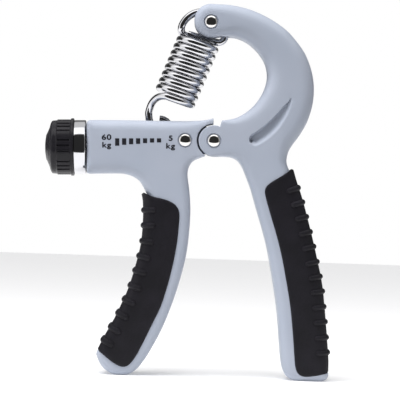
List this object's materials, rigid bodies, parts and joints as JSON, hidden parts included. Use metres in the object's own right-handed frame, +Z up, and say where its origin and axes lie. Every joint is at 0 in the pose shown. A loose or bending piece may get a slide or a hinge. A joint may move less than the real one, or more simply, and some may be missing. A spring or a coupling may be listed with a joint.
{
  "type": "hand grip strengthener",
  "caption": "Adjustable hand exerciser with two sprung handles, a curved arm, a tension spring and a knob that sets the resistance on a scale.",
  "frame": {"origin": "centre of the box's underside, where both feet stand", "axes": "+Z up, +X from the knob towards the curved arm, Y along the hinge pin; the printed scale faces -Y"},
  "size_m": [0.1206, 0.024, 0.1534],
  "materials": {
    "frame_plastic": "satin",
    "grip_rubber": "matte",
    "knob_plastic": "gloss",
    "chrome_plate": "mirror",
    "steel": "polished",
    "nylon": "satin"
  },
  "bodies": {
    "left_body": {"left_frame": "frame_plastic", "left_grip": "grip_rubber", "chrome_collar": "chrome_plate", "thrust_washer": "nylon", "screw_end_bearing": "nylon", "bearing_pin": "steel", "bearing_pin_cap": "steel"},
    "knob_body": {"knob": "knob_plastic", "knob_cap": "knob_plastic", "knob_screw": "steel", "adjusting_screw": "steel"},
    "carriage": {"carriage_nut": "steel", "hook_pin": "steel"},
    "spring_lower": {"spring_lower_hook": "chrome_plate"},
    "spring_middle": {"spring_coil": "chrome_plate"},
    "spring_upper": {"spring_upper_loop": "chrome_plate"},
    "right_body": {"right_frame": "frame_plastic", "right_grip": "grip_rubber", "pivot_sleeve": "nylon", "pivot_washer_front": "nylon", "pivot_washer_back": "nylon", "pivot_pin": "steel", "pivot_pin_cap": "steel", "arm_pin": "steel", "arm_pin_cap": "steel"}
  },
  "joints": [
    {"name": "knob_turn", "type": "hinge", "parent": "left_body", "child": "knob_body", "pos_m": [-0.05039, 0, 0.09284], "axis": [0.9994, 0, 0.0335], "range_deg": [0, 4325]},
    {"name": "carriage_slide", "type": "slide", "parent": "left_body", "child": "carriage", "axis": [-0.9994, 0, -0.0335], "range_m": [0, 0.018]},
    {"name": "spring_swing", "type": "hinge", "parent": "carriage", "child": "spring_lower", "pos_m": [-0.01295, 0, 0.10105], "axis": [0, 1, 0], "range_deg": [0, 25.5], "deforming": ["spring_lower_hook"]},
    {"name": "spring_lean", "type": "slide", "parent": "spring_lower", "child": "spring_middle", "axis": [0.9706, 0, 0.2406], "range_m": [0, 0.0181], "deforming": ["spring_coil"]},
    {"name": "spring_stretch", "type": "slide", "parent": "spring_middle", "child": "spring_upper", "axis": [0.3968, 0, 0.9179], "range_m": [0, 0.0115], "deforming": ["spring_upper_loop"]},
    {"name": "handle_squeeze", "type": "hinge", "parent": "left_body", "child": "right_body", "pos_m": [0.00949, 0, 0.09725], "axis": [0, 1, 0], "range_deg": [0, 31], "stiffness_Nm_per_rad": 5, "springref_deg": -11.46}
  ],
  "couplings": [
    {"joint": "knob_turn", "follows": "carriage_slide", "rad_per_m": 4188.8},
    {"joint": "spring_lean", "follows": "carriage_slide", "ratio": 1},
    {"joint": "spring_swing", "follows": "handle_squeeze", "ratio": 0.81},
    {"joint": "spring_stretch", "follows": "handle_squeeze", "m_per_rad": 0.020626}
  ]
}
